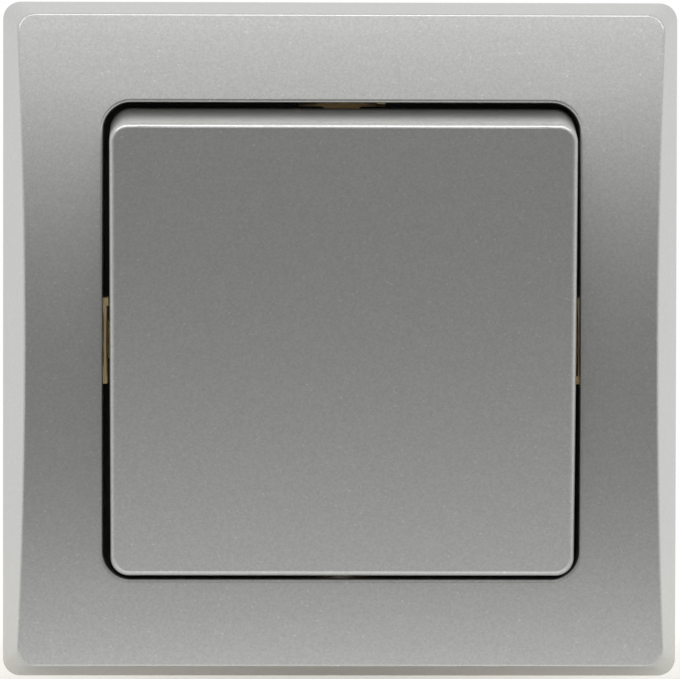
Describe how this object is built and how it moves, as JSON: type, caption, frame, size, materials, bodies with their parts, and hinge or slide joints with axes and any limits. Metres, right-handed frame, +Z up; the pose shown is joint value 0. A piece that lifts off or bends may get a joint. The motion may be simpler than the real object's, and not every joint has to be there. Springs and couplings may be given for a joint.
{
  "type": "pushbutton switch",
  "caption": "Flush wall pushbutton: square silver cover frame round a sprung, tilted rocker plate, on a steel support ring with a contact insert behind it for a wall box.",
  "frame": {"origin": "middle of the support ring's rear face, where it lies on the wall", "axes": "+Y into the wall, so the front looks along -Y; +X to the right and +Z up as the switch hangs"},
  "size_m": [0.0805, 0.0397, 0.0804],
  "materials": {
    "frame_lacquer": "plastic with satin silver metallic lacquer",
    "plate_lacquer": "plastic with satin silver metallic lacquer",
    "yellow_zinc_steel": "zinc-plated and yellow-passivated sheet",
    "black_plastic": "moulded, fine grain",
    "carrier_plastic": "moulded, fine grain",
    "base_plastic": "moulded thermoset, fine grain",
    "release_plastic": "moulded, smooth",
    "spring_steel": "bright drawn",
    "screw_steel": "zinc-plated",
    "contact_brass": "rolled strip",
    "contact_silver": "cold-headed silver"
  },
  "bodies": {
    "insert": {"cover_frame": "frame_lacquer", "support_ring": "yellow_zinc_steel", "bearing_frame": "black_plastic", "socket_base": "base_plastic", "rear_cover": "base_plastic", "housing_screws": "screw_steel", "return_spring": "spring_steel", "lever_rail": "contact_brass", "lever_pin": "screw_steel", "contact_rail": "contact_brass", "fixed_contact": "contact_silver", "line_clamp_upper": "spring_steel", "line_clamp_lower": "spring_steel", "load_clamp_upper": "spring_steel", "load_clamp_lower": "spring_steel"},
    "rocker": {"rocker_plate": "plate_lacquer", "rocker_carrier": "carrier_plastic"},
    "contact_arm": {"contact_lever": "contact_brass", "moving_contact": "contact_silver"},
    "line_release_slider": {"line_release": "release_plastic"},
    "load_release_slider": {"load_release": "release_plastic"}
  },
  "joints": [
    {"name": "rocker_press", "type": "hinge", "parent": "insert", "child": "rocker", "pos_m": [0, -0.0031, 0], "axis": [1, 0, 0], "range_deg": [-12, 0], "stiffness_Nm_per_rad": 0.2, "springref_deg": 8.59, "deforming": ["return_spring"]},
    {"name": "contact_swing", "type": "hinge", "parent": "insert", "child": "contact_arm", "pos_m": [0, 0.0169, 0], "axis": [1, 0, 0], "range_deg": [0, 14.7]},
    {"name": "line_release_press", "type": "slide", "parent": "insert", "child": "line_release_slider", "axis": [0, -1, 0], "range_m": [0, 0.0012], "stiffness_N_per_m": 400, "springref_m": -0.003, "deforming": ["line_clamp_upper", "line_clamp_lower"]},
    {"name": "load_release_press", "type": "slide", "parent": "insert", "child": "load_release_slider", "axis": [0, -1, 0], "range_m": [0, 0.0012], "stiffness_N_per_m": 400, "springref_m": -0.003, "deforming": ["load_clamp_upper", "load_clamp_lower"]}
  ],
  "couplings": [
    {"joint": "contact_swing", "follows": "rocker_press", "ratio": -1.2233}
  ]
}
